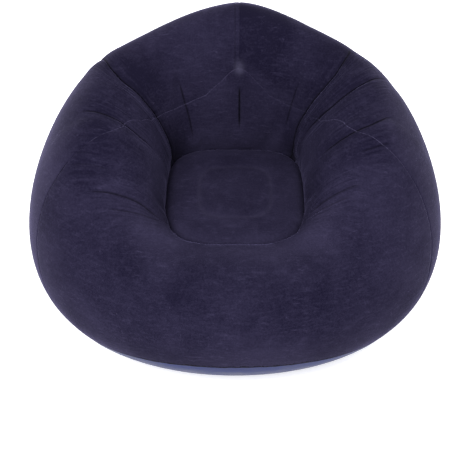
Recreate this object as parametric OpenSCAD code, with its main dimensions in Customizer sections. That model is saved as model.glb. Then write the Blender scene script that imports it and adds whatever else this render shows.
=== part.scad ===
// Inflatable lounge chair: flocked top skins on a vinyl base, held in shape by
// two inner bands and filled through a two-part valve low on the back.
// +Z is up, the sitter faces -Y, and the floor is z = 0 under the middle.

/* [Overall size] */
// Width across the arms
chair_w = 1070; // [850:5:1400]
// Depth from the front roll to the back
chair_d = 1040; // [860:5:1350]
// Height of the backrest's crest beside its peak
back_h = 645; // [540:1:850]
// Rise of the peak where the back seam crosses the crest
peak_h = 27; // [0:1:60]

/* [Crest of the roll] */
// Height of the crest in front of the seat
front_h = 348; // [320:1:420]
// Height of the crest at the front corners
front_corner_h = 371; // [330:1:480]
// Height of the crest on the arms
arm_h = 552; // [450:1:700]
// Height of the crest at the rear corners
rear_corner_h = 599; // [480:1:780]
// How far from the seat towards the outline the crest stands, front
front_crest = 0.47; // [0.35:0.01:0.6]
// The same share at the front corners
front_corner_crest = 0.477; // [0.35:0.001:0.6]
// The same share on the arms
arm_crest = 0.445; // [0.3:0.001:0.6]
// The same share at the rear corners
rear_corner_crest = 0.496; // [0.3:0.001:0.6]
// The same share at the back
back_crest = 0.352; // [0.25:0.001:0.6]

/* [Widest line] */
// Distance from the front to where the chair is widest
front_reach = 413; // [340:1:520]
// Height of the widest line at the front
front_girth_h = 189; // [150:1:230]
// Height of the widest line at the front corners
front_corner_girth_h = 184; // [150:1:230]
// Height of the widest line on the arms
arm_girth_h = 238; // [180:1:300]
// Height of the widest line at the rear corners
rear_corner_girth_h = 261; // [190:1:320]
// Height of the widest line at the back
back_girth_h = 283; // [200:1:340]
// Roundness of the outline in front, 2 is an ellipse
front_squareness = 2.02; // [1.7:0.01:2.6]
// Roundness of the outline behind, 2 is an ellipse
back_squareness = 1.83; // [1.7:0.01:2.6]
// Edge of the flat that rests on the floor, as a share of the outline
floor_share = 0.624; // [0.5:0.001:0.8]

/* [Seat] */
// Height of the seat seam
seat_h = 300; // [240:1:310]
// Width of the seat in front
seat_front_w = 356; // [300:1:440]
// Width of the seat behind
seat_rear_w = 380; // [300:1:460]
// Depth of the seat
seat_d = 425; // [370:1:500]
// Distance from the chair's front to the seat
seat_setback = 240; // [190:1:290]
// Squareness of the seat, 2 is an ellipse
seat_squareness = 3.7; // [2.4:0.1:6]
// Rise of the seat panel's middle
seat_dome = 14; // [4:1:24]

/* [Skins] */
// Thickness of the flocked and plain sheets
skin_t = 1; // [0.8:0.1:1.6]
// Height of the seam between vinyl base and flock at the front
base_front_h = 119; // [80:1:140]
// The same height at the front corners
base_corner_h = 85; // [60:1:120]
// The same height from the arms to the back
base_rear_h = 68; // [50:1:100]

/* [Inner bands] */
// Place of the outer band, as a share of the way to the seat seam
outer_band_share = 0.96; // [0.9:0.01:0.97]
// Place of the middle band, as a share of the way to the seat seam
middle_band_share = 0.52; // [0.4:0.01:0.7]
// Diameter of the air holes in the bands
vent_d = 40; // [20:1:60]
// Number of air holes in each band
vent_count = 8; // [4:2:10]

/* [Valve] */
// How far round from the front the valve sits
valve_turn = 168; // [166:0.5:172]
// Diameter of the flange welded into the skin
flange_d = 64; // [58:1:80]
// Bore of the flange's neck
neck_bore_d = 37; // [30:0.5:46]
// Wall of the neck
neck_wall = 3.5; // [2:0.1:5]
// How far the neck reaches into the chair
neck_l = 10; // [8:1:16]
// Clearance round the plug in the neck
plug_gap = 0.1; // [0.05:0.01:0.3]
// How far the plug's air tube reaches into the chair
tube_l = 20; // [14:1:30]
// Bore of the plug's air tube
tube_bore_d = 17; // [12:0.5:21]
// Wall of the plug's air tube
tube_wall = 2; // [1.5:0.1:3]
// Clearance round the cap's stub in the mouth of the tube
cap_gap = 0.3; // [0.1:0.05:0.5]
// Width of the cap's tongue, the strap's tail and the flap's tab
strap_w = 8; // [5:0.5:10]
// Thickness of the strap
strap_t = 1.2; // [0.8:0.1:1.4]
// How far the strap's tail hangs below the plug
strap_drop = 20; // [14:1:30]

/* [Hidden] */

flock = [0.17, 0.16, 0.24];
vinyl = [0.35, 0.38, 0.50];
clear_vinyl = [0.62, 0.65, 0.72];

panel_rows = 14;              // rows across the inner panel
side_rows = 12;               // rows across a side panel
hem_rows = 4;                 // rows up the turned-up edge of the base

// Five values stand at 0, 45, 90, 135 and 180 degrees round from the front.
crest_z = [front_h, front_corner_h, arm_h, rear_corner_h, back_h];
crest_share = [front_crest, front_corner_crest, arm_crest, rear_corner_crest, back_crest];
girth_z = [front_girth_h, front_corner_girth_h, arm_girth_h, rear_corner_girth_h, back_girth_h];
base_seam_z = [base_front_h, base_corner_h, base_rear_h, base_rear_h, base_rear_h];

widest_y = -chair_d / 2 + front_reach;
seat_y = -chair_d / 2 + seat_setback + seat_d / 2;
peak_spread = 40;             // the peak fades out this many degrees to each side
roll_fullness = 1.09;         // 1 is an elliptic shoulder, more is rounder

// The side seam, from the base seam over the arm to the back: [turn, way].
side_seam_start = 54;
side_seam = [[54, 0.62], [62, 0.95], [70, 1.3], [76, 1.66], [82, 1.95], [86, 2.15],
             [90, 2.29], [95, 2.46], [102, 2.57], [116, 2.65], [150, 2.69], [166, 2.68],
             [175, 2.62], [180, 2.56]];

// A smooth curve through the five values, level at the front and at the back.
function around_curve(v, turn) =
    let (c = [for (k = [0:4])
             (v[0] / 2 + v[1] * cos(45 * k) + v[2] * cos(90 * k) + v[3] * cos(135 * k)
              + v[4] * cos(180 * k) / 2) / (k == 0 || k == 4 ? 4 : 2)])
    c[0] + c[1] * cos(turn) + c[2] * cos(2 * turn) + c[3] * cos(3 * turn) + c[4] * cos(4 * turn);

function rounded(x, power) = sign(x) * pow(abs(x), power);
function blend(a, b, k) = a + (b - a) * k;

// Outline of the chair at its widest line, and of the seat seam.
function outline(turn) =
    let (front = cos(turn) > 0, n = front ? front_squareness : back_squareness,
         reach = front ? front_reach : chair_d - front_reach)
    [chair_w / 2 * rounded(sin(turn), 2 / n), widest_y - reach * rounded(cos(turn), 2 / n)];
function seat_outline(turn) =
    let (half_w = blend(seat_front_w, seat_rear_w, (1 - cos(turn)) / 2) / 2)
    [half_w * rounded(sin(turn), 2 / seat_squareness),
     seat_y - seat_d / 2 * rounded(cos(turn), 2 / seat_squareness)];

function crest_height(turn) =
    around_curve(crest_z, turn)
    + peak_h * pow(max(0, 1 - abs(180 - abs(turn)) / peak_spread), 1.5);

// A point on the skin. way is 0 at the floor, 1 at the widest line, 2 at the crest
// and 3 at the seat seam.
function skin_point(turn, way) =
    let (wide = outline(turn), seam = seat_outline(turn), middle = [0, widest_y],
         foot = blend(middle, wide, floor_share),
         crest = blend(seam, wide, around_curve(crest_share, turn)),
         low = around_curve(girth_z, turn), high = crest_height(turn), a = 90 * way)
    way <= 1 ? concat(blend(foot, wide, sin(a)), low * (1 - cos(a)))
    : way <= 2 ? concat(blend(crest, wide, pow(max(0, cos(a - 90)), roll_fullness)),
                        blend(low, high, pow(sin(a - 90), roll_fullness)))
    : concat(blend(crest, seam, sin(a - 180)), blend(seat_h, high, cos(a - 180)));

// Outward normal of the skin.
function skin_normal(turn, way) =
    let (e = 0.5, f = 0.004, w = min(way, 3 - f),
         along = skin_point(turn + e, w) - skin_point(turn - e, w),
         up = skin_point(turn, w + f) - skin_point(turn, max(0, w - f)),
         n = cross(along, up))
    n / norm(n);
function inside(turn, way) = skin_point(turn, way) - skin_t * skin_normal(turn, way);
// At the seat seam the walls meet in a mitre.
function seam_inside(turn) =
    let (n = skin_normal(turn, 3)) skin_point(turn, 3) - skin_t * [n.x, n.y, 1];

// How far up the skin the base seam and the side seam run.
function base_way(turn) =
    acos(1 - around_curve(base_seam_z, turn) / around_curve(girth_z, turn)) / 90;
function side_way(turn) =
    abs(turn) <= side_seam_start ? base_way(turn)
    : max(base_way(turn), lookup(abs(turn), side_seam));

// A closed skin between two grids of points, out[i][j] and in[i][j]. It closes on
// itself in i when ringed is true. A first column or row that is one point says so.
function corner_faces(a, b, c, d) =
    concat(a == b || b == c || a == c ? [] : [[a, b, c]],
           a == c || c == d || a == d ? [] : [[a, c, d]]);
module skin(out, in, ringed = false, point_column = false, point_row = false) {
    m = len(out);
    n = len(out[0]);
    spans = ringed ? m : m - 1;
    function id(i, j, side) =
        side * m * n + (point_row && j == 0 ? 0 : point_column && i == 0 ? 0 : (i % m) * n + j);
    polyhedron(
        points = concat([for (column = out) each column], [for (column = in) each column]),
        faces = [
            for (i = [0:spans - 1], j = [0:n - 2]) each concat(
                corner_faces(id(i, j, 0), id(i, j + 1, 0), id(i + 1, j + 1, 0), id(i + 1, j, 0)),
                corner_faces(id(i, j, 1), id(i + 1, j, 1), id(i + 1, j + 1, 1), id(i, j + 1, 1))),
            for (i = [0:spans - 1]) each concat(
                point_row ? []
                : corner_faces(id(i, 0, 0), id(i + 1, 0, 0), id(i + 1, 0, 1), id(i, 0, 1)),
                corner_faces(id(i, n - 1, 0), id(i, n - 1, 1), id(i + 1, n - 1, 1),
                             id(i + 1, n - 1, 0))),
            if (!ringed) for (j = [0:n - 2]) each concat(
                point_column ? []
                : corner_faces(id(0, j, 0), id(0, j, 1), id(0, j + 1, 1), id(0, j + 1, 0)),
                corner_faces(id(m - 1, j, 0), id(m - 1, j + 1, 0), id(m - 1, j + 1, 1),
                             id(m - 1, j, 1)))
        ]);
}

// Stations round the chair, closer where the side seam climbs over the arm.
right_turns = concat([for (t = [0:6:48]) t], [for (t = [side_seam_start:3:93]) t],
                     [for (t = [96:6:180]) t]);
turns = concat([for (i = [len(right_turns) - 1:-1:1]) -right_turns[i]],
               [for (i = [0:len(right_turns) - 2]) right_turns[i]]);

// Front roll, inner arms and backrest in one sheet, gathered to the seat seam.
module inner_panel() {
    function way(t, j) = blend(side_way(t), 3, j / panel_rows);
    color(flock)
        skin([for (t = turns) [for (j = [0:panel_rows]) skin_point(t, way(t, j))]],
             [for (t = turns) [for (j = [0:panel_rows])
                 j == panel_rows ? seam_inside(t) : inside(t, way(t, j))]],
             ringed = true);
}

// Outer arm and half of the outer back, from the base seam to the side seam.
module side_skin() {
    columns = [for (t = right_turns) if (t >= side_seam_start) t];
    function way(t, j) = blend(base_way(t), side_way(t), j / side_rows);
    skin([for (t = columns) [for (j = [0:side_rows]) skin_point(t, way(t, j))]],
         [for (t = columns) [for (j = [0:side_rows]) inside(t, way(t, j))]],
         point_column = true);
}
module left_side_panel() {
    color(flock) mirror([1, 0, 0]) side_skin();
}
module right_side_panel() {
    color(flock) difference() {
        side_skin();
        at_valve() translate([0, 0, -flange_t]) cylinder(d = flange_d, h = 2 * flange_t, $fn = 96);
    }
}

// Seat panel: share is 0 in the middle and 1 at the seam.
band_share_t = skin_t / (seat_rear_w / 2);   // a band's thickness, as a share
seat_shares = [0, 0.3, middle_band_share - band_share_t, middle_band_share, 0.8,
               outer_band_share - band_share_t, outer_band_share, 1];
function seat_point(turn, share) =
    let (edge = seat_outline(turn), middle = [0, seat_y])
    concat(blend(middle, edge, share), seat_h + seat_dome * (1 - pow(share, 4)));
function under_seat(turn, share) = seat_point(turn, share) - [0, 0, skin_t];
// It is built mirrored, so that its edge is split into the same triangles as the
// inner panel's.
module seat_panel() {
    color(flock) mirror([1, 0, 0])
        skin([for (t = turns) [for (s = seat_shares) seat_point(-t, s)]],
             [for (t = turns) [for (s = seat_shares) s == 1 ? seam_inside(-t) : under_seat(-t, s)]],
             ringed = true, point_row = true);
}

// Vinyl base: flat on the floor, turned up to the base seam.
module base_sheet() {
    function way(t, j) = base_way(t) * j / hem_rows;
    color(vinyl)
        skin([for (t = turns) concat([[0, widest_y, 0]],
                 [for (j = [0:hem_rows]) skin_point(t, way(t, j))])],
             [for (t = turns) concat([[0, widest_y, skin_t]],
                 [for (j = [0:hem_rows]) inside(t, way(t, j))])],
             ringed = true, point_row = true);
}

// A band is a wall from the base up to the underside of the seat panel, with air holes.
module band(share) {
    function wall(t, s) = [for (z = [0, 1])
        let (top = under_seat(t, s)) [top.x, top.y, z == 0 ? skin_t : top.z]];
    difference() {
        skin([for (t = turns) wall(t, share)], [for (t = turns) wall(t, share - band_share_t)],
             ringed = true);
        for (i = [0:vent_count / 2 - 1])
            translate([0, seat_y, seat_h / 2]) rotate([90, 0, (i + 0.5) * 360 / vent_count])
                cylinder(d = vent_d, h = 2 * seat_d, center = true, $fn = 48);
    }
}
module outer_band() {
    color(vinyl) band(outer_band_share);
}
module middle_band() {
    color(vinyl) band(middle_band_share);
}

// Valve. In its own frame +Z points straight out of the back and +Y points up.
flange_t = 4;                 // the flange's edge inside the skin
flange_proud = 0.8;           // the flange's face outside the skin
neck_proud = 3.5;             // the neck's rim outside the skin
neck_d = neck_bore_d + 2 * neck_wall;
plug_l = 8;                   // the plug's body in the neck
plug_rim_t = 3;
plug_rim_d = neck_d + 4;
face_z = neck_proud + plug_rim_t;          // outer face of the plug's rim
tube_r = tube_bore_d / 2 + tube_wall;
lip_t = 2;                    // seat for the flap at the tube's inner end
lip_w = 1.5;
mouth_d = tube_bore_d + 4;    // the wider mouth that takes the cap's stub
mouth_l = 7;
cap_d = mouth_d + 5;
cap_t = 2.5;
stub_l = 6;
stub_wall = 1.5;
stub_taper = 0.6;
pull_tab_l = 5;
cap_hinge_y = plug_rim_d / 2;              // hinge line of the cap's tongue
flap_t = 1;
flap_gap = 0.3;               // between the tube's end and the flap
flap_margin = 0.5;            // the flap stops this far inside the tube's edge
flap_hinge_y = tube_r + 2;                 // hinge line of the flap's tab
collar_t = 2.4;
strap_end_gap = 0.1;          // between the strap's end and the plug's rim
fine = 96;                    // segments of a valve circle

valve_place = skin_point(valve_turn, 1);
valve_out = skin_normal(valve_turn, 1);
valve_yaw = atan2(valve_out.x, valve_out.y);
module at_valve() {
    translate(valve_place) rotate([90, 0, 180 - valve_yaw]) children();
}
module rod(d, low, high) {
    translate([0, 0, low]) cylinder(d = d, h = high - low, $fn = fine);
}

// Flange and neck, welded into the skin.
module valve_flange() {
    color(clear_vinyl) at_valve() difference() {
        union() {
            rod(flange_d, -flange_t, flange_proud);
            rod(neck_d, -neck_l, neck_proud);
        }
        rod(neck_bore_d, -neck_l - 1, neck_proud + 1);
    }
}

// Plug that opens the whole neck, with the air tube through it.
module deflation_plug() {
    color(clear_vinyl) at_valve() difference() {
        union() {
            rod(neck_bore_d - 2 * plug_gap, -plug_l, neck_proud);
            rod(plug_rim_d, neck_proud, face_z);
            rod(2 * tube_r, -tube_l, 0);
        }
        rod(mouth_d, face_z - mouth_l, face_z + 1);
        rod(tube_bore_d, -tube_l + lip_t, face_z);
        rod(tube_bore_d - 2 * lip_w, -tube_l - 1, face_z);
    }
}

// Cap that closes the mouth of the tube, with its tongue, pull tab and hollow stub.
module inflation_cap() {
    stub_r = mouth_d / 2 - cap_gap;
    color(clear_vinyl) at_valve() union() {
        rod(cap_d, face_z, face_z + cap_t);
        translate([-strap_w / 2, -cap_d / 2 - pull_tab_l, face_z])
            cube([strap_w, cap_hinge_y + cap_d / 2 + pull_tab_l, cap_t]);
        rotate_extrude($fn = fine) polygon([
            [stub_r - stub_wall - stub_taper, face_z - stub_l], [stub_r - stub_taper, face_z - stub_l],
            [stub_r, face_z], [stub_r, face_z + 1], [stub_r - stub_wall, face_z + 1]]);
    }
}

// Flap that the air pressure holds against the inner end of the tube.
module check_flap() {
    color(clear_vinyl) at_valve() translate([0, 0, -tube_l - flap_gap - flap_t]) union() {
        cylinder(r = tube_r - flap_margin, h = flap_t, $fn = fine);
        translate([-strap_w / 2, 0, 0]) cube([strap_w, flap_hinge_y, flap_t]);
    }
}

// Strap: a collar round the neck, with a tail that hangs and turns up to the plug's rim.
module plug_strap() {
    tail_low = flange_proud;
    tail_high = neck_proud + plug_rim_t / 2 + strap_t / 2;
    bend_r = (tail_high - tail_low) / 2;
    bend_y = -plug_rim_d / 2 - strap_drop + bend_r;
    module tail(r) {
        translate([bend_y, (tail_low + tail_high) / 2]) {
            circle(r, $fn = fine);
            translate([0, -r]) square([-bend_y, 2 * r]);
        }
    }
    color(clear_vinyl) at_valve() difference() {
        union() {
            rod(neck_d + 2 * strap_t, flange_proud, flange_proud + collar_t);
            difference() {
                rotate([90, 0, 90]) translate([0, 0, -strap_w / 2]) linear_extrude(strap_w)
                    difference() {
                        tail(bend_r);
                        tail(bend_r - strap_t);
                    }
                rod(plug_rim_d + 2 * strap_end_gap, flange_proud + collar_t, face_z + 1);
            }
        }
        rod(neck_d, flange_proud - 1, face_z);
    }
}

inner_panel();
left_side_panel();
right_side_panel();
seat_panel();
base_sheet();
outer_band();
middle_band();
valve_flange();
deflation_plug();
inflation_cap();
check_flap();
plug_strap();
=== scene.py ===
"""Inflatable flocked lounge chair: its skins, folds, seams and valve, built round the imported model.

Lengths are in metres. The sitter faces -Y and the floor is z = 0. A place on the skin is
given as (turn, way): turn is the angle round the chair in degrees, 0 in front, 90 on the
+X arm and 180 behind; way is 0 at the floor, 1 at the widest line, 2 on the crest of the
roll and 3 at the seat seam.
"""

import math

import bpy
import numpy as np
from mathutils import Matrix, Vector


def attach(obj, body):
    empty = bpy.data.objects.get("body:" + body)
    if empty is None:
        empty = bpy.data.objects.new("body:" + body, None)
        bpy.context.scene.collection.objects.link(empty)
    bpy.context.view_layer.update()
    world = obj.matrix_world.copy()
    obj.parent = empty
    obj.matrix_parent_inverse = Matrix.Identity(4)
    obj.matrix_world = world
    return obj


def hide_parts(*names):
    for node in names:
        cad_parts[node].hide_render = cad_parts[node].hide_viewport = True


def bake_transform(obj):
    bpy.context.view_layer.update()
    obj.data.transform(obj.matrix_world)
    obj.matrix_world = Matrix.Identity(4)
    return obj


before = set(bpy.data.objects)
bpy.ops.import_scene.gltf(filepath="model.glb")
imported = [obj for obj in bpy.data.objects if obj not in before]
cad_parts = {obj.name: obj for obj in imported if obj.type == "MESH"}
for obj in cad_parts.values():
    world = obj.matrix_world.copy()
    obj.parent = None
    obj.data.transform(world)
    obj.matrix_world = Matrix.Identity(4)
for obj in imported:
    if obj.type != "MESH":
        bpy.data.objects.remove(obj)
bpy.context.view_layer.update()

# ---------------------------------------------------------------- form of the chair
CHAIR_W, CHAIR_D = 1.070, 1.040
FRONT_REACH = 0.413            # from the front to the widest station
WIDEST_Y = -CHAIR_D / 2 + FRONT_REACH
FRONT_POWER, BACK_POWER = 2.02, 1.83
FLOOR_SHARE = 0.624
SEAT_H, SEAT_D = 0.300, 0.425
SEAT_FRONT_W, SEAT_REAR_W, SEAT_POWER = 0.356, 0.368, 3.6
SEAT_Y = -CHAIR_D / 2 + 0.240 + SEAT_D / 2
PEAK_H, PEAK_SPREAD, ROLL_FULLNESS = 0.027, 40.0, 1.09
# Values at 0, 45, 90, 135 and 180 degrees round from the front.
CREST_Z = (0.348, 0.371, 0.552, 0.599, 0.645)
CREST_SHARE = (0.47, 0.477, 0.445, 0.496, 0.352)
GIRTH_Z = (0.189, 0.184, 0.238, 0.261, 0.283)
BASE_SEAM_Z = (0.119, 0.085, 0.068, 0.068, 0.068)
SIDE_SEAM_START = 54.0
SIDE_SEAM_TURN = (54, 62, 70, 76, 82, 86, 90, 95, 102, 116, 150, 166, 175, 180)
SIDE_SEAM_WAY = (0.62, 0.95, 1.3, 1.66, 1.95, 2.15, 2.29, 2.46, 2.57, 2.65, 2.69, 2.68, 2.62, 2.56)
CENTRE_FROM = 120.0             # the centre seam's own features lie behind this turn


def around_curve(v, turn):
    """A smooth curve through five values, level in front and behind."""
    a = np.radians(turn)
    ends = (0.5, 1, 1, 1, 0.5)
    total = 0
    for k in range(5):
        c = sum(e * x * math.cos(math.pi * j * k / 4) for j, (e, x) in enumerate(zip(ends, v))) / 2
        total = total + (c / 2 if k in (0, 4) else c) * np.cos(k * a)
    return total


def rounded(x, power):
    return np.sign(x) * (np.abs(x) + 1e-12) ** power


def smooth(x):
    x = np.clip(x, 0, 1)
    return x * x * (3 - 2 * x)


def bump(x, middle, width):
    return np.exp(-((x - middle) / width) ** 2)


def outline(turn):
    s, c = np.sin(np.radians(turn)), np.cos(np.radians(turn))
    power = 2 / np.where(c > 0, FRONT_POWER, BACK_POWER)
    reach = np.where(c > 0, FRONT_REACH, CHAIR_D - FRONT_REACH)
    return np.stack([CHAIR_W / 2 * rounded(s, power), WIDEST_Y - reach * rounded(c, power)], -1)


def seat_outline(turn):
    s, c = np.sin(np.radians(turn)), np.cos(np.radians(turn))
    half = (SEAT_FRONT_W + (SEAT_REAR_W - SEAT_FRONT_W) * (1 - c) / 2) / 2
    power = 2 / SEAT_POWER
    return np.stack([half * rounded(s, power), SEAT_Y - SEAT_D / 2 * rounded(c, power)], -1)


def skin_point(turn, way):
    """The point of the smooth skin at (turn, way), before folds."""
    turn, way = np.broadcast_arrays(np.asarray(turn, float), np.asarray(way, float))
    wide, seam = outline(turn), seat_outline(turn)
    middle = np.array([0, WIDEST_Y])
    foot = middle + (wide - middle) * FLOOR_SHARE
    crest = seam + (wide - seam) * around_curve(CREST_SHARE, turn)[..., None]
    low = around_curve(GIRTH_Z, turn)
    peak = np.clip(1 - np.abs(180 - np.abs(turn)) / PEAK_SPREAD, 0, 1) ** 1.5
    high = around_curve(CREST_Z, turn) + PEAK_H * peak
    a, b, c = (np.clip(way - k, 0, 1) * math.pi / 2 for k in range(3))
    up, over = np.sin(b) ** ROLL_FULLNESS, np.clip(np.cos(b), 0, 1) ** ROLL_FULLNESS
    xy = np.where((way <= 1)[..., None], foot + (wide - foot) * np.sin(a)[..., None],
                  np.where((way <= 2)[..., None], crest + (wide - crest) * over[..., None],
                           crest + (seam - crest) * np.sin(c)[..., None]))
    z = np.where(way <= 1, low * (1 - np.cos(a)),
                 np.where(way <= 2, low + (high - low) * up, SEAT_H + (high - SEAT_H) * np.cos(c)))
    return np.concatenate([xy, z[..., None]], -1)


def skin_normal(turn, way):
    """Outward normals of the smooth skin."""
    e, f = 0.25, 0.004
    w = np.clip(way, f, 3 - f)
    n = np.cross(skin_point(turn + e, w) - skin_point(turn - e, w),
                 skin_point(turn, w + f) - skin_point(turn, w - f))
    return n / np.linalg.norm(n, axis=-1, keepdims=True)


def waves(x, parts):
    """A sum of sine waves, each given as (height, rate, start)."""
    return sum(height * np.sin(x * rate + start) for height, rate, start in parts)


def base_way(turn):
    """The way of the seam between the base sheet and the panels."""
    height = around_curve(BASE_SEAM_Z, turn) / around_curve(GIRTH_Z, turn)
    return np.arccos(1 - height) / (math.pi / 2)


def hem_way(turn):
    """The flock's own lower edge, which wanders a little about the base seam."""
    wander = waves(np.radians(turn), ((1.0, 23, 0.3), (0.8, 57, 1.9), (0.7, 101, 4.0)))
    return base_way(turn) + 0.0022 * wander


def side_way(turn):
    """The way of the side seam. The left one dips a little in front of the arm."""
    over = np.interp(np.abs(turn), SIDE_SEAM_TURN, SIDE_SEAM_WAY) - 0.08 * bump(turn, -73, 6)
    base = hem_way(turn)
    return np.where(np.abs(turn) <= SIDE_SEAM_START, base, np.maximum(base, over))


# ---------------------------------------------------------------- folds
# A fold runs up through (turn, way) points. Its depth, the half width of its sharp bottom
# and that of its soft sides are in millimetres. The folds are in order of turn.
FOLDS = (
    (((-145.5, 2.48), (-146.5, 2.56), (-148, 2.66), (-150.5, 2.76), (-152, 2.85), (-153, 2.95)),
     6, 3.0, 16),
    (((-127, 1.30), (-124, 1.55), (-121, 1.82), (-114, 2.06), (-110, 2.23), (-111, 2.37),
      (-112, 2.51), (-116, 2.64), (-120, 2.79), (-124, 2.92), (-125, 3.0)), 15, 3.6, 32),
    (((-94, 1.78), (-92, 1.91), (-91, 2.02), (-90.3, 2.15), (-90, 2.29), (-90, 2.49),
      (-90.5, 2.60), (-91, 2.72)), 7, 3.0, 22),
    (((-77.5, 1.70), (-76, 1.80), (-74, 1.92), (-72, 2.05), (-70.5, 2.20)), 3, 2.6, 12),
    (((-67, 1.78), (-64.5, 1.90), (-62.5, 2.09), (-59.5, 2.36), (-55, 2.56), (-53, 2.70),
      (-52, 2.86)), 6, 3.0, 20),
    (((-58, 1.90), (-56, 2.06), (-53.2, 2.34), (-51.5, 2.58), (-49, 2.80)), 4, 3.0, 18),
    (((62, 2.06), (59.5, 2.26), (57.5, 2.43), (55.5, 2.62), (54, 2.78)), 4, 3.0, 18),
    (((67, 2.0), (65, 2.16), (62, 2.42), (60.5, 2.60), (59, 2.82)), 5, 3.0, 20),
    (((83, 1.84), (80.5, 1.94), (79, 2.04), (78, 2.16)), 4, 2.5, 14),
    (((91.5, 1.78), (90.5, 1.86), (89.5, 1.95), (88, 2.03), (87, 2.18), (86.6, 2.3), (87, 2.41),
      (87.7, 2.52), (89, 2.66)), 8, 3.0, 20),
    (((111, 1.72), (108, 1.87), (104, 2.09), (102, 2.27), (102, 2.44), (106, 2.58), (113, 2.74),
      (117, 2.86)), 10, 3.2, 24),
    (((131, 1.66), (128, 1.88), (122, 2.12), (118.5, 2.28), (119.5, 2.45), (124, 2.60),
      (132, 2.78), (134, 2.92), (134, 3.0)), 12, 3.4, 28),
    (((140, 2.48), (142, 2.6), (145, 2.74), (147, 2.86)), 5, 2.6, 14),
    (((180, 2.64), (180, 2.72), (180, 2.80), (180, 2.90)), 9, 2.6, 16),
)
SHARP_SHARE, SOFT_SHARE = 0.38, 0.6        # of a fold's depth, in its sharp bottom and soft sides
WAY_STEPS = 40                             # steps of a table for each 1 of way
WAYS = np.linspace(0, 3, 3 * WAY_STEPS + 1)
AT_WIDEST, HALF_UP = WAY_STEPS, WAY_STEPS * 3 // 2


def soften(values, times=3):
    for _ in range(times):
        inner = (values[:-2] + 2 * values[1:-1] + values[2:]) / 4
        values = np.concatenate([values[:1], inner, values[-1:]])
    return values


FOLD_TURNS = [soften(np.interp(WAYS, [way for _, way in path], [turn for turn, _ in path]))
              for path, *_ in FOLDS]


def distance_to_line(points, line, reach):
    """Distance of each point to a line of points, and how far along it lies, from 0 to 1."""
    step = np.linalg.norm(np.diff(line, axis=0), axis=1)
    start = np.concatenate([[0], np.cumsum(step)])
    near, along = np.full(len(points), 9.0), np.zeros(len(points))
    near_line = (points > line.min(0) - reach) & (points < line.max(0) + reach)
    at = np.flatnonzero(np.all(near_line, axis=1))
    p, best, place = points[at], np.full(len(at), 9.0), np.zeros(len(at))
    for a, b, s0, d in zip(line[:-1], line[1:], start, step):
        t = np.clip((p - a) @ (b - a) / max(d * d, 1e-12), 0, 1)
        r = np.linalg.norm(p - (a + t[:, None] * (b - a)), axis=1)
        place, best = np.where(r < best, s0 + t * d, place), np.minimum(r, best)
    near[at], along[at] = best, place / start[-1]
    return near, along


def fold_fields(points):
    """For each fold: the distance of each point to it, how deep it is there, and how dark."""
    fields = []
    for (path, *_), turns in zip(FOLDS, FOLD_TURNS):
        low, high = path[0][1], path[-1][1]
        inside = np.linspace(low, high, 90)
        line = skin_point(np.interp(inside, WAYS, turns), inside)
        d, along = distance_to_line(points, line, 0.12)
        into_seat = high > 2.95
        end = 1 if into_seat else smooth((1 - along) / 0.3)
        fade = smooth(along / (0.5 if into_seat else 0.35)) * end
        fields.append((d, fade, smooth(along / 0.2) * end))
    return fields


# ---------------------------------------------------------------- columns that follow the folds
SPACING = 0.006        # mean width of a column at the widest line
PANEL_ROWS = 110          # from the side seam to the seat
SIDE_ROWS = 80            # from the base seam to the side seam

quarter = 90 * (0.5 - 0.5 * np.cos(np.linspace(0, math.pi, 241)))
SAMPLES = np.concatenate([start + quarter[:-1] for start in (-180, -90, 0, 90)] + [[180.0]])


def ring_length(way):
    p = skin_point(SAMPLES, way)
    return np.concatenate([[0], np.cumsum(np.linalg.norm(np.diff(p, axis=0), axis=1))])


def column_table():
    """Turns of every column at each of WAYS. Columns crowd together beside a fold."""
    plain = np.zeros(len(WAYS))
    knots = [np.full(len(WAYS), -180.0)] + FOLD_TURNS[:6] + [plain] + FOLD_TURNS[6:]
    widest = ring_length(1.0)
    counts = []
    for a, b in zip(knots[:-1], knots[1:]):
        span = (np.interp(b[AT_WIDEST], SAMPLES, widest)
                - np.interp(a[AT_WIDEST], SAMPLES, widest))
        counts.append(max(4, round(span / SPACING)))
    table = []
    for i, way in enumerate(WAYS):
        length = ring_length(way)
        row = []
        for a, b, n in zip(knots[:-1], knots[1:], counts):
            t = np.arange(n) / n
            t = t - 0.8 / (2 * math.pi) * np.sin(2 * math.pi * t)
            ends = np.interp([a[i], b[i]], SAMPLES, length)
            turn = np.interp(ends[0] + (ends[1] - ends[0]) * t, length, SAMPLES)
            turn[0] = a[i]
            row.append(turn)
        table.append(np.concatenate(row))
    return np.array(table)


TABLE = column_table()
COLUMNS = TABLE.shape[1]


def table_row(way):
    """The whole row of a table of WAYS below each way, and the place among the rows."""
    place = np.clip(np.asarray(way) / 3 * (len(WAYS) - 1), 0, len(WAYS) - 1.000001)
    return place.astype(int), place


def column_turn(k, way):
    """Turn of column k at a way; both may be arrays."""
    i, place = table_row(way)
    return TABLE[i, k] + (TABLE[i + 1, k] - TABLE[i, k]) * (place - i)


def seam_ways():
    """The way at which each column crosses the side seam."""
    k = np.arange(COLUMNS)
    low, high = np.full(COLUMNS, 0.2), np.full(COLUMNS, 2.95)
    for _ in range(40):         # halvings
        middle = (low + high) / 2
        above = middle > side_way(column_turn(k, middle))
        low, high = np.where(above, low, middle), np.where(above, middle, high)
    return (low + high) / 2


def row_shares(n, low_end, high_end):
    """n + 1 shares from 0 to 1 that crowd towards the ends that are asked for."""
    t = np.linspace(0, 1, n + 1)
    width = 1 - 0.75 * low_end * np.exp(-t / 0.06) - 0.8 * high_end * np.exp(-(1 - t) / 0.06)
    place = np.concatenate([[0], np.cumsum((width[1:] + width[:-1]) / 2)])
    return place / place[-1]


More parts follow.
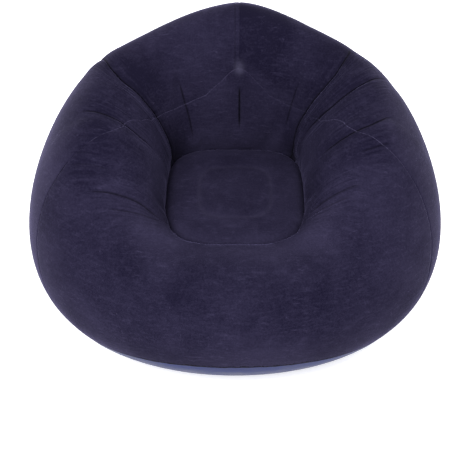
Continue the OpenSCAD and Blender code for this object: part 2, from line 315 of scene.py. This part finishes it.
def grid_faces(columns, rows, closed):
    """Four-sided faces over a grid of points, round to the first column again if it is closed."""
    index = np.arange(columns * rows).reshape(columns, rows)
    first = index if closed else index[:-1]
    beside = np.roll(index, -1, axis=0) if closed else index[1:]
    faces = np.stack([first[:, :-1], beside[:, :-1], beside[:, 1:], first[:, 1:]], -1)
    return faces.reshape(-1, 4)


# ---------------------------------------------------------------- the blown-up skin by simulation
SIM_COLUMNS, SIM_ROWS, SIM_FRAMES = 264, 112, 24
SIM_CAP = 0.009                 # the largest swelling that is kept
HELD_WIDTH, HELD_LEAST = 0.018, 0.03        # how wide a fold is held, and how much the rest is
BROAD_PASSES, FINE_PASSES = 160, 2


def sim_turns(way):
    """Evenly spaced turns at a way, for the simulated skin."""
    length = ring_length(way)
    return np.interp(np.arange(SIM_COLUMNS) / SIM_COLUMNS * length[-1], length, SAMPLES)


def inflate():
    """Blows the roll up as cloth held at its seams and folds.

    It returns the turns of its grid's columns at each of WAYS, and how far each point of that regular
    grid moves from the smooth skin.
    """
    share = np.linspace(0, 1, SIM_ROWS + 1)
    table = np.array([sim_turns(w) for w in WAYS])
    low = base_way(table[0])
    turn, way = np.empty((2, SIM_COLUMNS, SIM_ROWS + 1))
    for k in range(SIM_COLUMNS):
        way[k] = low[k] + (3 - low[k]) * share
        turn[k] = np.interp(way[k], WAYS, table[:, k])
    flat = skin_point(turn, way).reshape(-1, 3)
    outward = skin_normal(turn, way).reshape(-1, 3)
    valley, held = np.zeros(len(flat)), np.zeros(len(flat))
    for (d, fade, _), (_, depth, _, wide) in zip(fold_fields(flat), FOLDS):
        valley += fade * depth / 1000 * SOFT_SHARE * np.exp(-(d / (wide / 1000)) ** 2)
        held = np.maximum(held, fade * np.exp(-(d / HELD_WIDTH) ** 2))
    start = flat - outward * valley[:, None]
    faces = grid_faces(SIM_COLUMNS, SIM_ROWS + 1, True)
    skin = new_object("skin_in_simulation", start, faces.tolist())
    rows = np.broadcast_to(np.arange(SIM_ROWS + 1), (SIM_COLUMNS, SIM_ROWS + 1)).ravel()
    weight = np.clip(np.maximum(held, HELD_LEAST), 0, 1)
    weight[(rows <= 1) | (rows == SIM_ROWS)] = 1
    group = skin.vertex_groups.new(name="held")
    for level in np.unique(np.round(weight, 2)):
        group.add(np.flatnonzero(np.round(weight, 2) == level).tolist(), float(level), "REPLACE")
    cloth = skin.modifiers.new("cloth", "CLOTH")
    s = cloth.settings
    s.quality, s.mass, s.air_damping = 6, 0.25, 2.0
    s.tension_stiffness = s.compression_stiffness = 18
    s.shear_stiffness, s.bending_stiffness = 8, 0.35
    s.tension_damping = s.compression_damping = 8
    s.vertex_group_mass, s.pin_stiffness = "held", 1.0
    s.use_pressure, s.uniform_pressure_force = True, 2.2
    s.shrink_min = -0.025
    s.effector_weights.gravity = 0
    cloth.collision_settings.use_collision = False
    scene = bpy.context.scene
    cloth.point_cache.frame_start, cloth.point_cache.frame_end = 1, SIM_FRAMES
    for f in range(1, SIM_FRAMES + 1):
        scene.frame_set(f)
    result = skin.evaluated_get(bpy.context.evaluated_depsgraph_get()).to_mesh()
    co = np.empty(len(result.vertices) * 3)
    result.vertices.foreach_get("co", co)
    move = co.reshape(-1, 3) - start
    scene.frame_set(1)
    bpy.data.objects.remove(skin)
    size = np.linalg.norm(move, axis=1)
    print("inflated: mean move %.1f mm, largest %.1f mm" % (size.mean() * 1000, size.max() * 1000))
    move *= (SIM_CAP * np.tanh(size / SIM_CAP) / np.maximum(size, 1e-9))[:, None]
    grid = move.reshape(SIM_COLUMNS, SIM_ROWS + 1, 3)
    # The even part of the swelling is taken off, so that only its unevenness is kept.
    swell = np.sum(grid * outward.reshape(grid.shape), axis=2)
    broad = swell
    for _ in range(BROAD_PASSES):
        broad = (np.roll(broad, 1, 0) + 2 * broad + np.roll(broad, -1, 0)) / 4
        inner = (broad[:, :-2] + 2 * broad[:, 1:-1] + broad[:, 2:]) / 4
        broad = np.concatenate([broad[:, :1], inner, broad[:, -1:]], 1)
    grid = grid - outward.reshape(grid.shape) * broad[..., None]
    for _ in range(FINE_PASSES):
        grid = (np.roll(grid, 1, 0) + 2 * grid + np.roll(grid, -1, 0)) / 4
        grid[:, 1:-1] = (grid[:, :-2] + 2 * grid[:, 1:-1] + grid[:, 2:]) / 4
    return table, grid


def grid_at(grid, column, row):
    """A smooth reading of a grid (columns wrap round) at fractional columns and rows."""
    n, m = grid.shape[:2]
    ci, ri = np.floor(column).astype(int), np.floor(row).astype(int)
    ct, rt = column - ci, row - ri

    def weights(t):
        return (-t / 2 + t * t - t ** 3 / 2, 1 - 2.5 * t * t + 1.5 * t ** 3,
                t / 2 + 2 * t * t - 1.5 * t ** 3, -t * t / 2 + t ** 3 / 2)
    out = 0
    for a, wa in enumerate(weights(ct)):
        for b, wb in enumerate(weights(rt)):
            out = out + (wa * wb)[:, None] * grid[(ci + a - 1) % n, np.clip(ri + b - 1, 0, m - 1)]
    return out


def moved_by_air(result, turn, way):
    """Displacement of any places on the skin, read from the simulated grid."""
    table, move = result
    i, place = table_row(way)
    column = np.zeros(len(turn))
    for w in np.unique(i):
        here = i == w
        wrap = [np.append(table[j], 180.0) for j in (w, w + 1)]
        c = [np.interp(turn[here], x, np.arange(SIM_COLUMNS + 1)) for x in wrap]
        column[here] = c[0] + (c[1] - c[0]) * (place[here] - w)
    low = base_way(turn)
    row = np.clip((way - low) / (3 - low), 0, 1) * SIM_ROWS
    return grid_at(move, column, row)


# ---------------------------------------------------------------- meshes
def new_object(name, points, faces):
    mesh = bpy.data.meshes.new(name)
    mesh.from_pydata([tuple(p) for p in points], [], faces)
    mesh.update()
    piece = bpy.data.objects.new(name, mesh)
    bpy.context.scene.collection.objects.link(piece)
    return piece


def only(piece):
    bpy.ops.object.select_all(action="DESELECT")
    piece.select_set(True)
    bpy.context.view_layer.objects.active = piece


def store_all(piece, marks):
    """Stores each mark, a number for every point, for the material to read."""
    for name, values in marks.items():
        attribute = piece.data.attributes.new(name, "FLOAT", "POINT")
        attribute.data.foreach_set("value", np.asarray(values, float))


def before_back(turn):
    """1 in front and at the arms, and fading to 0 towards the back."""
    return smooth((150 - np.abs(turn)) / 22)


def folded(turn, way, air):
    """Places on the finished skin, and the marks that the flock reads there."""
    flat = skin_point(turn, way)
    outward = skin_normal(turn, way)
    far = np.abs(turn)
    sharp, valley, crease_shade, wrinkle, close = np.zeros((5, len(flat)))
    for (d, fade, drawn), (_, depth, narrow, wide) in zip(fold_fields(flat), FOLDS):
        sharp += fade * depth / 1000 * SHARP_SHARE * np.exp(-(d / (narrow / 1000)) ** 1.2)
        valley += fade * depth / 1000 * SOFT_SHARE * np.exp(-(d / (wide / 1000)) ** 2)
        # Painted shade: each fold's bottom is darkened in the flock's colour, and softly to either
        # side, where the fold lies in shadow.
        crease_shade = np.maximum(crease_shade, drawn * min(1, depth / 9) * np.exp(-(d / 0.0028) ** 2))
        crease_shade = np.maximum(crease_shade, drawn * min(0.3, depth / 45) * np.exp(-(d / 0.015) ** 2))
        close = np.maximum(close, fade * np.exp(-(d / 0.045) ** 2))
        wrinkle = np.maximum(wrinkle, drawn * np.exp(-(d / 0.07) ** 2) * smooth((134 - far) / 12))
    moved = -outward * valley[:, None]
    if air is not None:
        # The unevenness is fainter on the outer sides and beside the folds.
        kept = (0.25 + 0.75 * smooth((way - 1.85) / 0.5)) * (1 - 0.65 * close)
        moved += moved_by_air(air, turn, way) * kept[:, None]
    # The lower edge bulges over the seat before it dives into the seam.
    over = (0.004 * bump(way, 2.86, 0.10) * smooth((3 - way) / 0.05)
            * (0.1 + 0.9 * smooth((far - 50) / 45)))
    # The roll stands out beside the deepest fold, where it meets the skyline.
    over = over + 0.010 * np.exp(-(np.linalg.norm(flat - SHOULDER, axis=1) / 0.06) ** 2)
    dive = 0.004 * smooth((way - 2.94) / 0.06)
    # Slight furrows where the side seams and the centre seam draw the sheet in.
    above = way - side_way(turn)
    furrow = 0.0016 * np.exp(-np.abs(above) / 0.012) * (far > SIDE_SEAM_START)
    furrow = furrow + (0.0016 * np.exp(-np.abs(flat[:, 0]) / 0.003) * (far > CENTRE_FROM)
                       * smooth(-above / 0.02))
    # Small gathers fan out from the seat seam, most of all at its corners.
    around = np.interp(turn, SAMPLES, SEAT_ARC)
    corner = np.exp(-((np.abs(far - 90) - 47) / 16) ** 2)
    gather = waves(around, ((0.5, 250, 0.4), (0.35, 163, 2.0), (0.3, 397, 4.1)))
    gather = 0.0014 * gather * (0.25 + 0.75 * corner) * bump(way, 2.88, 0.10)
    # All three seams meet in a small pucker.
    to_pucker = np.hypot(flat[:, 0], flat[:, 2] - PUCKER_Z)
    pucker = 0.004 * np.exp(-(to_pucker / 0.011) ** 2) * (way > 2)
    out = over + gather - sharp * smooth((3 - way) / 0.06) - furrow - pucker
    moved = moved + outward * out[:, None]
    moved *= smooth((3 - way) / 0.03)[:, None]
    moved[:, 2] -= dive
    # The centre of the back is sewn a little to the right.
    moved[:, 0] += (0.012 * bump(flat[:, 0], 0, 0.11) * (far > CENTRE_FROM)
                    * smooth((way - 1.3) / 0.6) * smooth((3 - way) / 0.12))
    # A painted highlight on the raised pucker where the three seams meet.
    to_pale = np.hypot(flat[:, 0], (flat[:, 2] - PUCKER_Z - 0.002) * 0.8)
    pucker_highlight = np.exp(-(to_pale / 0.012) ** 2) * (way > 2)
    # The weld shows pale over the arms, fainter on the back, and dark down the left side.
    seam_pale = np.where(
        turn > 0, smooth((way - 1.2) / 0.2) * (1 - 0.72 * smooth((far - 104) / 14)),
        smooth((way - 1.88) / 0.12) * (0.85 - 0.15 * smooth((far - 120) / 10)))
    seam_dark = np.where(turn > 0, 0.5 * smooth((1.15 - way) / 0.1), smooth((1.76 - way) / 0.1))
    # Tones of the flock, fitted to how the real chair looks: a paler front crest, a darker lower
    # front, darker tops of the arms and a paler inner back just above the seat. Part of this is the
    # way the nap
    # lies and part is painted light: a painted highlight along the front crest, painted shade on the
    # tops of the arms, and paint that lightens the shaded back of the well.
    nap_and_painted_light = (0.36 * bump(way, 2.32, 0.35) * smooth((80 - far) / 40)
            - 0.10 * bump(way, 1.55, 0.4) * smooth((65 - far) / 40)
            - 0.18 * bump(way, 2.2, 0.45) * smooth((far - 60) / 25) * smooth((140 - far) / 15)
            + 0.34 * smooth((way - 2.75) / 0.2) * smooth((far - 140) / 20))
    # Painted shade, fitted in the same way: the roll's foot beside the seat is darkened, and softly
    # so above it, where the hollow of the seat seam lies in shadow.
    to_seat = np.linalg.norm(flat - skin_point(turn, 3.0), axis=1)
    soft = np.where(turn < 0, 0.6, 0.3) * np.exp(-(to_seat / 0.1) ** 2)
    dark = np.maximum(np.exp(-(to_seat / 0.042) ** 2), soft)
    groove_shade = before_back(turn) * smooth((far - 35) / 20) * dark
    return flat + moved, {"crease_shade": crease_shade, "wrinkle": wrinkle, "pucker_highlight": pucker_highlight, "nap_and_painted_light": nap_and_painted_light,
                          "seam_pale": seam_pale, "seam_dark": seam_dark, "groove_shade": groove_shade}


def lengths_up(points):
    """Length along each column of a (columns, rows, 3) grid, from its first row."""
    step = np.linalg.norm(np.diff(points, axis=1), axis=2)
    return np.concatenate([np.zeros((len(points), 1)), np.cumsum(step, axis=1)], axis=1)


def add_uv(piece, u, v):
    """A UV map in metres: u round the chair, v up from the side seam."""
    loops = np.empty(len(piece.data.loops), int)
    piece.data.loops.foreach_get("vertex_index", loops)
    uv = np.stack([u[loops], v[loops]], 1)
    piece.data.uv_layers.new(name="metres").data.foreach_set("uv", uv.ravel())


SEAT_ARC = ring_length(3.0)
SHOULDER = skin_point(-120.5, 1.84)
WELD_SHARE = 0.52               # the seat's weld ring, as a share of the way out to its edge
PUCKER_Z = float(skin_point(180.0, side_way(180.0))[2])
VALVE_TURN = 168.0
VALVE_PLACE = skin_point(VALVE_TURN, 1.0)
VALVE_OUT = skin_normal(np.array([VALVE_TURN]), np.array([1.0]))[0]
air = inflate()
SEAM = seam_ways()
ARC = np.array([np.interp(t, SAMPLES, ring_length(1.5)) for t in TABLE[HALF_UP]])
NECK_HOLE = 0.0245              # radius of the opening under the valve's flange


def inner_panel():
    """The flocked panel over the roll, from the side seams to the seat seam."""
    share = row_shares(PANEL_ROWS, 0.7, 1)
    k = np.repeat(np.arange(COLUMNS), PANEL_ROWS + 1)
    way = (SEAM[:, None] + (3 - SEAM[:, None]) * share).ravel()
    turn = column_turn(k, way)
    points, marks = folded(turn, way, air)
    faces = grid_faces(COLUMNS, PANEL_ROWS + 1, True)
    piece = new_object("inner_panel_skin", points, faces.tolist())
    up = lengths_up(points.reshape(COLUMNS, PANEL_ROWS + 1, 3)).ravel()
    add_uv(piece, ARC[k], up)
    marks["seam"] = np.where(np.abs(turn) > SIDE_SEAM_START, up, 1.0)
    marks["hem_shadow"] = np.where(np.abs(turn) <= SIDE_SEAM_START, up, 1.0)
    marks["middle"] = np.ones(len(way))
    store_all(piece, marks)
    return piece


def side_panel(sign, name):
    """The flocked panel of one outer side; sign is 1 on the right and -1 on the left."""
    turn_at_seam = column_turn(np.arange(COLUMNS), SEAM) * sign
    ks = [k for k in range(COLUMNS) if turn_at_seam[k] > SIDE_SEAM_START]
    if sign > 0:
        ks = ks + [0]
    share = 1 - row_shares(SIDE_ROWS, 0.7, 0)[::-1]
    kk = np.repeat(ks, SIDE_ROWS + 1)
    low = hem_way(TABLE[0, ks])
    way = (low[:, None] + (SEAM[ks] - low)[:, None] * share).ravel()
    turn = column_turn(kk, way)
    points, marks = folded(turn, way, air)
    n = len(ks)
    faces = grid_faces(n, SIDE_ROWS + 1, False)
    # A hole under the flange lets the valve's neck through. Faces across the chair are kept.
    middle = points[faces].mean(axis=1) - VALVE_PLACE
    along = middle @ VALVE_OUT
    aside = np.linalg.norm(middle - along[:, None] * VALVE_OUT, axis=1)
    faces = faces[(aside > NECK_HOLE) | (along < -0.05)]
    kept, faces = np.unique(faces, return_inverse=True)
    piece = new_object(name, points[kept], faces.reshape(-1, 4).tolist())
    up = lengths_up(points.reshape(n, SIDE_ROWS + 1, 3))
    u = ARC[kk]
    if sign > 0:
        u[-(SIDE_ROWS + 1):] = ring_length(1.5)[-1]
    add_uv(piece, u[kept], (up - up[:, -1:]).ravel()[kept])
    marks["middle"] = np.where(np.abs(turn) > CENTRE_FROM, np.abs(points[:, 0]), 1.0)
    marks["seam"] = (up[:, -1:] - up).ravel()
    marks["hem_shadow"] = up.ravel()
    # Tones fitted in the same way, partly the nap and partly painted light and shade: paler low on
    # the left arm, and darker behind, most of all on the right.
    behind = smooth((np.abs(turn) - 138) / 25) * smooth(marks["seam"] / 0.07)
    low_arm = smooth((1.85 - way) / 0.3) * smooth((130 - np.abs(turn)) / 20)
    marks["nap_and_painted_light"] += -0.33 * behind if sign > 0 else 0.30 * low_arm - 0.06 * behind
    store_all(piece, {name: values[kept] for name, values in marks.items()})
    return piece


inner_skin = inner_panel()
right_skin = side_panel(1, "right_side_skin")
left_skin = side_panel(-1, "left_side_skin")


def ring_mesh(name, rings):
    """A skin through closed rings with the same number of points, the first of them one point."""
    m = len(rings[0])
    points = [rings[0][0]] + [p for ring in rings[1:] for p in ring]
    k = np.arange(m)
    faces = [(0, 1 + a, 1 + (a + 1) % m) for a in range(m)]
    for r in range(len(rings) - 2):
        a, b = 1 + r * m + k, 1 + r * m + (k + 1) % m
        faces += np.stack([a, a + m, b + m, b], 1).tolist()
    return new_object(name, points, faces)


def seat_mesh():
    """The padded seat, with its weld ring, gathered where it meets the roll."""
    turns = TABLE[-1]
    edge = seat_outline(turns)
    middle = np.array([0, SEAT_Y])
    around = np.interp(turns, SAMPLES, SEAT_ARC)
    gather = waves(around, ((0.5, 210, 1.4), (0.4, 137, 3.0), (0.3, 330, 0.1)))
    rings, shares = [], 1 - (1 - np.linspace(0, 1, 60)) ** 1.6
    for share in shares:
        xy = middle + (edge - middle) * share
        fall = np.clip((share - 0.55) / 0.45, 0, 1)
        puff = 0.015 - 0.018 * (1 - np.sqrt(np.clip(1 - fall ** 5, 0, 1)))
        weld = -0.0016 * bump(share, WELD_SHARE, 0.04)
        z = SEAT_H + puff + weld + 0.0006 * gather * bump(share, 0.90, 0.06)
        rings.append(np.concatenate([xy, z[:, None]], 1))
    piece = ring_mesh("seat_skin", rings)
    share = np.concatenate([[0], np.repeat(shares[1:], len(turns))])
    side = np.concatenate([[0], np.tile(before_back(turns), len(shares) - 1)])
    store_all(piece, {"weld": bump(share, WELD_SHARE, 0.03),
                      # Painted shade along the seat's edge beside the roll, fading towards the back.
                      "groove_shade": 0.3 * side * np.exp(-(1 - share) * SEAT_D / 2 / 0.012),
                      # The seat grows paler towards its edge: partly its nap, partly painted light
                      # that lifts the shade of the well.
                      "nap_and_painted_light": 0.06 + share * 0.10 + 0.22 * smooth((share - 0.7) / 0.3),
                      "seam": share * 0 + 1, "middle": share * 0 + 1, "hem_shadow": share * 0 + 1})
    return piece


def base_mesh():
    """The sheet the chair stands on, up to its seam and tucked in just behind it."""
    turn = TABLE[0]
    wide = outline(turn)
    middle = np.array([0, WIDEST_Y])
    rings = []
    for share in np.linspace(0, 1, 12, endpoint=False):
        xy = middle + (wide - middle) * FLOOR_SHARE * share
        rings.append(np.concatenate([xy, np.zeros((len(xy), 1))], 1))
    edge = base_way(turn)
    for share in np.linspace(0, 1.03, 17):
        tuck = 0.0014 * smooth((share - 0.93) / 0.05)
        rings.append(skin_point(turn, edge * share) - tuck * skin_normal(turn, edge * share))
    return ring_mesh("base_skin", rings)


seat_skin, base_skin = seat_mesh(), base_mesh()

# ---------------------------------------------------------------- materials
def linear(hex_value):
    rgb = [int(hex_value[i:i + 2], 16) / 255 for i in (1, 3, 5)]
    return tuple(c / 12.92 if c <= 0.04045 else ((c + 0.055) / 1.055) ** 2.4 for c in rgb) + (1.0,)


class Material:
    """A material with short ways to add nodes and join them."""

    def __init__(self, name, hex_value, roughness):
        self.material = bpy.data.materials.new(name)
        self.material.use_nodes = True
        self.tree = self.material.node_tree
        self.shader = self.tree.nodes["Principled BSDF"]
        self.shader.inputs["Base Color"].default_value = linear(hex_value)
        self.shader.inputs["Roughness"].default_value = roughness

    def put(self, node, values):
        """Links or sets each input of a node."""
        for key, value in values.items():
            if isinstance(value, bpy.types.NodeSocket):
                self.tree.links.new(value, node.inputs[key])
            else:
                node.inputs[key].default_value = value

    def node(self, kind, values, **settings):
        node = self.tree.nodes.new(kind)
        for key, value in settings.items():
            setattr(node, key, value)
        self.put(node, values)
        return node

    def to(self, socket, key):
        self.tree.links.new(socket, self.shader.inputs[key])

    def place(self):
        return self.node("ShaderNodeTexCoord", {}).outputs["Object"]

    def noise(self, vector, scale, detail=3.0, roughness=0.55, distortion=0.0):
        values = {"Vector": vector, "Scale": scale, "Detail": detail, "Roughness": roughness,
                  "Distortion": distortion}
        return self.node("ShaderNodeTexNoise", values).outputs["Fac"]

    def stretched(self, vector, scale, turn=(0, 0, 0)):
        values = {"Vector": vector, "Scale": scale, "Rotation": [math.radians(a) for a in turn]}
        return self.node("ShaderNodeMapping", values).outputs["Vector"]

    def ramp(self, value, low, high, out_low=0.0, out_high=1.0, kind="SMOOTHSTEP"):
        return self.node("ShaderNodeMapRange", {"Value": value, "From Min": low, "From Max": high,
                                                "To Min": out_low, "To Max": out_high},
                         interpolation_type=kind).outputs["Result"]

    def math(self, operation, a, b):
        return self.node("ShaderNodeMath", {0: a, 1: b}, operation=operation).outputs[0]

    def mix(self, share, a, b):
        values = {0: share, 6: a, 7: b}     # the colour mixer's factor and its two colours
        return self.node("ShaderNodeMix", values, data_type="RGBA").outputs[2]

    def attribute(self, name):
        return self.node("ShaderNodeAttribute", {}, attribute_name=name).outputs["Fac"]

    def bump(self, height, strength, distance):
        values = {"Height": height, "Strength": strength, "Distance": distance}
        self.to(self.node("ShaderNodeBump", values).outputs["Normal"], "Normal")


def flocked_vinyl():
    """Short indigo flock: cloudy where the nap leans, brushed streaks, a weld line paler than the
    flock, painted shade in the folds, beside the seat and along the hem, and a painted highlight at
    the pucker.
    """
    m = Material("flocked_vinyl", "#1E1B2E", 0.95)
    place = m.place()
    cloud = m.noise(place, 7.0, 4.0, 0.55, 0.3)
    level = m.noise(m.stretched(place, (1, 1, 4.5), (0, 6, 0)), 34.0, 5.0, 0.72, 0.4)
    slanted = m.noise(m.stretched(place, (1.0, 5, 5), (10, 34, 24)), 34.0, 5.0, 0.78, 0.5)
    steep = m.noise(m.stretched(place, (6, 4, 1.2), (0, -16, -14)), 28.0, 5.0, 0.78, 0.5)
    fine = m.noise(place, 210.0, 3.0, 0.7)
    where = m.noise(place, 12.0, 2.0, 0.5)
    brushed = m.math("MULTIPLY", m.ramp(slanted, 0.53, 0.74), m.ramp(where, 0.42, 0.6))
    brushed_up = m.math("MULTIPLY", m.ramp(steep, 0.55, 0.76), m.ramp(where, 0.55, 0.4))
    tone = m.math("ADD", m.ramp(cloud, 0.3, 0.7, 0.12, 0.42), m.ramp(level, 0.46, 0.72, 0, 0.26))
    tone = m.math("ADD", tone, m.math("MULTIPLY", brushed, 0.75))
    tone = m.math("ADD", tone, m.math("MULTIPLY", brushed_up, 0.62))
    tone = m.math("ADD", tone, m.ramp(fine, 0.3, 0.7, -0.12, 0.12))
    # Tone for the way the nap lies, with painted light and shade in it.
    tone = m.math("ADD", tone, m.attribute("nap_and_painted_light"))
    across = m.node("ShaderNodeUVMap", {}, uv_map="metres").outputs["UV"]
    wrinkle = m.noise(m.stretched(across, (1, 0.1, 1)), 95.0, 2.0, 0.5, 0.25)
    wrinkle = m.math("MULTIPLY", m.math("SUBTRACT", wrinkle, 0.5), m.attribute("wrinkle"))
    tone = m.math("ADD", tone, m.math("MULTIPLY", wrinkle, 0.9))
    colour = m.mix(tone, linear("#141125"), linear("#332F47"))
    # Painted shade along the folds: the colour is darkened toward near black there.
    crease_shade = m.ramp(m.attribute("crease_shade"), 0.05, 0.9, 0, 0.8)
    colour = m.mix(crease_shade, colour, linear("#07060C"))
    # Painted shade beside the seat seam, darkened toward near black.
    groove_shade = m.ramp(m.attribute("groove_shade"), 0.03, 1.0, 0, 0.7, "LINEAR")
    colour = m.mix(groove_shade, colour, linear("#07060C"))
    seam = m.ramp(m.attribute("seam"), 0.0004, 0.0017, 1.0, 0.0)
    broken = m.ramp(m.noise(place, 150.0, 2.0, 0.5), 0.42, 0.56, 0.12, 0.42)
    pale_seam = m.math("MULTIPLY", m.math("MULTIPLY", seam, m.attribute("seam_pale")), broken)
    wide_seam = m.ramp(m.attribute("seam"), 0.0012, 0.004, 0.9, 0.0)
    dark_seam = m.math("MULTIPLY", wide_seam, m.attribute("seam_dark"))
    colour = m.mix(dark_seam, colour, linear("#08070F"))
    middle = m.ramp(m.attribute("middle"), 0.0006, 0.002, 0.4, 0.0)
    colour = m.mix(middle, colour, linear("#0A0912"))
    colour = m.mix(pale_seam, colour, linear("#5A5573"))
    # Painted highlight at the pucker.
    colour = m.mix(m.math("MULTIPLY", m.attribute("pucker_highlight"), 0.3), colour, linear("#6A6682"))
    colour = m.mix(m.math("MULTIPLY", m.attribute("weld"), 0.11), colour, linear("#4A465C"))
    # Painted shadow: a ragged dark line along the flock's lower edge, where it overlaps the base
    # sheet.
    hem_shadow = m.math("ADD", m.attribute("hem_shadow"), m.ramp(fine, 0.3, 0.7, -0.004, 0.004))
    colour = m.mix(m.ramp(hem_shadow, 0.004, 0.008, 0.9, 0.0), colour, linear("#07060B"))
    m.to(colour, "Base Color")
    m.shader.inputs["Specular IOR Level"].default_value = 0.08
    m.shader.inputs["Sheen Weight"].default_value = 0.30
    m.shader.inputs["Sheen Roughness"].default_value = 0.25
    m.shader.inputs["Sheen Tint"].default_value = linear("#9A92CC")
    nap = m.noise(place, 700.0, 2.0, 0.6)
    height = m.math("ADD", m.math("MULTIPLY", wrinkle, 3.2), m.math("MULTIPLY", nap, 0.12))
    height = m.math("ADD", height, m.math("MULTIPLY", tone, 0.35))
    m.bump(height, 0.6, 0.0016)
    return m.material


def sheet_vinyl():
    """Smooth blue-grey sheet with the faint unevenness of blown-up film."""
    m = Material("sheet_vinyl", "#323A5A", 0.38)
    place = m.place()
    wave = m.noise(m.stretched(place, (1, 1, 2.5)), 14.0, 3.0, 0.5, 0.4)
    grain = m.noise(place, 900.0, 2.0, 0.5)
    colour = m.mix(m.ramp(wave, 0.35, 0.65, 0, 0.6), linear("#151E50"), linear("#1D285C"))
    m.to(colour, "Base Color")
    m.shader.inputs["Specular IOR Level"].default_value = 0.15
    m.to(m.ramp(wave, 0.3, 0.7, 0.34, 0.46, "LINEAR"), "Roughness")
    height = m.math("ADD", wave, m.math("MULTIPLY", grain, 0.05))
    m.bump(height, 0.4, 0.002)
    return m.material


def moulded_vinyl():
    """Soft moulded vinyl of the valve, a little cloudy, with a fine moulded grain."""
    m = Material("moulded_vinyl", "#4A5270", 0.32)
    place = m.place()
    cloud = m.noise(place, 60.0, 3.0, 0.5)
    grain = m.noise(place, 1600.0, 2.0, 0.5)
    m.to(m.mix(m.ramp(cloud, 0.3, 0.7), linear("#444C68"), linear("#505976")), "Base Color")
    m.to(m.ramp(cloud, 0.3, 0.7, 0.28, 0.38, "LINEAR"), "Roughness")
    m.shader.inputs["Subsurface Weight"].default_value = 0.15
    m.shader.inputs["Subsurface Radius"].default_value = (0.002, 0.002, 0.003)
    m.bump(grain, 0.2, 0.0002)
    return m.material


flock, vinyl, moulding = flocked_vinyl(), sheet_vinyl(), moulded_vinyl()
FILM = 0.0008                   # thickness of the sheet and the flocked film


def finish(piece, material):
    """Gives a skin its material, its thickness and its place on the chair."""
    piece.data.materials.clear()
    piece.data.materials.append(material)
    only(piece)
    wall = piece.modifiers.new("wall", "SOLIDIFY")
    wall.thickness, wall.offset = FILM, -1
    bpy.ops.object.modifier_apply(modifier=wall.name)
    bpy.ops.object.shade_smooth_by_angle(angle=math.radians(60))
    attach(piece, "chair")


for piece, node in ((inner_skin, "inner_panel"), (right_skin, "right_side_panel"),
                    (left_skin, "left_side_panel"), (seat_skin, "seat_panel")):
    finish(piece, flock)
    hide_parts(node)
finish(base_skin, vinyl)
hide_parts("base_sheet")

for node in ("outer_band", "middle_band"):
    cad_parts[node].data.materials.clear()
    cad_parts[node].data.materials.append(vinyl)


def softened(node, body, edge):
    """A copy of a valve part with its moulded edges rounded. It stands for the node."""
    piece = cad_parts[node].copy()
    piece.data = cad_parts[node].data.copy()
    piece.name = piece.data.name = node + "_moulding"
    bpy.context.scene.collection.objects.link(piece)
    for modifier in list(piece.modifiers):
        piece.modifiers.remove(modifier)
    piece.parent = None
    piece.hide_render = False
    only(piece)
    bpy.ops.object.mode_set(mode="EDIT")
    bpy.ops.mesh.select_all(action="SELECT")
    bpy.ops.mesh.remove_doubles(threshold=0.00001)
    bpy.ops.mesh.dissolve_limited(angle_limit=math.radians(2))
    bpy.ops.object.mode_set(mode="OBJECT")
    bevel = piece.modifiers.new("edges", "BEVEL")
    bevel.width, bevel.segments = edge, 3
    bevel.limit_method, bevel.angle_limit = "ANGLE", math.radians(40)
    bevel.use_clamp_overlap = True
    bpy.ops.object.modifier_apply(modifier=bevel.name)
    bpy.ops.object.shade_smooth_by_angle(angle=math.radians(35))
    piece.data.materials.clear()
    piece.data.materials.append(moulding)
    if body:
        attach(piece, body)
    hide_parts(node)
    return piece


softened("valve_flange", "chair", 0.0004)
softened("deflation_plug", "plug", 0.0005)
softened("inflation_cap", "cap", 0.0005)
softened("check_flap", "flap", 0.0002)
strap = softened("plug_strap", None, 0.0002)
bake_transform(strap)

# ---------------------------------------------------------------- floor, light and camera
bpy.ops.object.select_all(action="DESELECT")
bpy.ops.mesh.primitive_plane_add(size=14, location=(0, 0, 0))
floor = bpy.context.object
floor.name = "floor"
paper = Material("floor_paper", "#F6F6F6", 0.9)
paper.shader.inputs["Emission Color"].default_value = (1, 1, 1, 1)
paper.shader.inputs["Emission Strength"].default_value = 0.5
floor.data.materials.append(paper.material)

world = bpy.data.worlds.new("studio")
bpy.context.scene.world = world
world.use_nodes = True
background = world.node_tree.nodes["Background"]
background.inputs["Color"].default_value = (1, 1, 1, 1)
background.inputs["Strength"].default_value = 1.0


LIT_PLACE = (0, 0, 0.3)


def area_light(name, place, size, power):
    """A round light of a given width and power, turned to the chair."""
    data = bpy.data.lights.new(name, "AREA")
    data.shape, data.size, data.energy = "DISK", size, power
    lamp = bpy.data.objects.new(name, data)
    bpy.context.scene.collection.objects.link(lamp)
    lamp.location = place
    lamp.rotation_euler = (Vector(LIT_PLACE) - Vector(place)).to_track_quat("-Z", "Y").to_euler()


area_light("key", (-1.2, -2.2, 2.2), 1.6, 46)
area_light("fill", (2.2, -1.4, 1.6), 2.0, 13)
area_light("left_edge", (-2.0, 1.3, 0.9), 1.4, 50)
area_light("right_edge", (2.0, 1.3, 0.9), 1.4, 42)

ELEVATION, DISTANCE, AIM = math.radians(39), 2.5, Vector((0, 0, 0.1116))
camera_data = bpy.data.cameras.new("camera")
camera_data.lens, camera_data.sensor_width = 68.0, 36.0
camera = bpy.data.objects.new("camera", camera_data)
bpy.context.scene.collection.objects.link(camera)
camera.location = AIM + DISTANCE * Vector((0, -math.cos(ELEVATION), math.sin(ELEVATION)))
camera.rotation_euler = (AIM - camera.location).to_track_quat("-Z", "Y").to_euler()
bpy.context.scene.camera = camera
bpy.context.scene.view_settings.view_transform = "Standard"
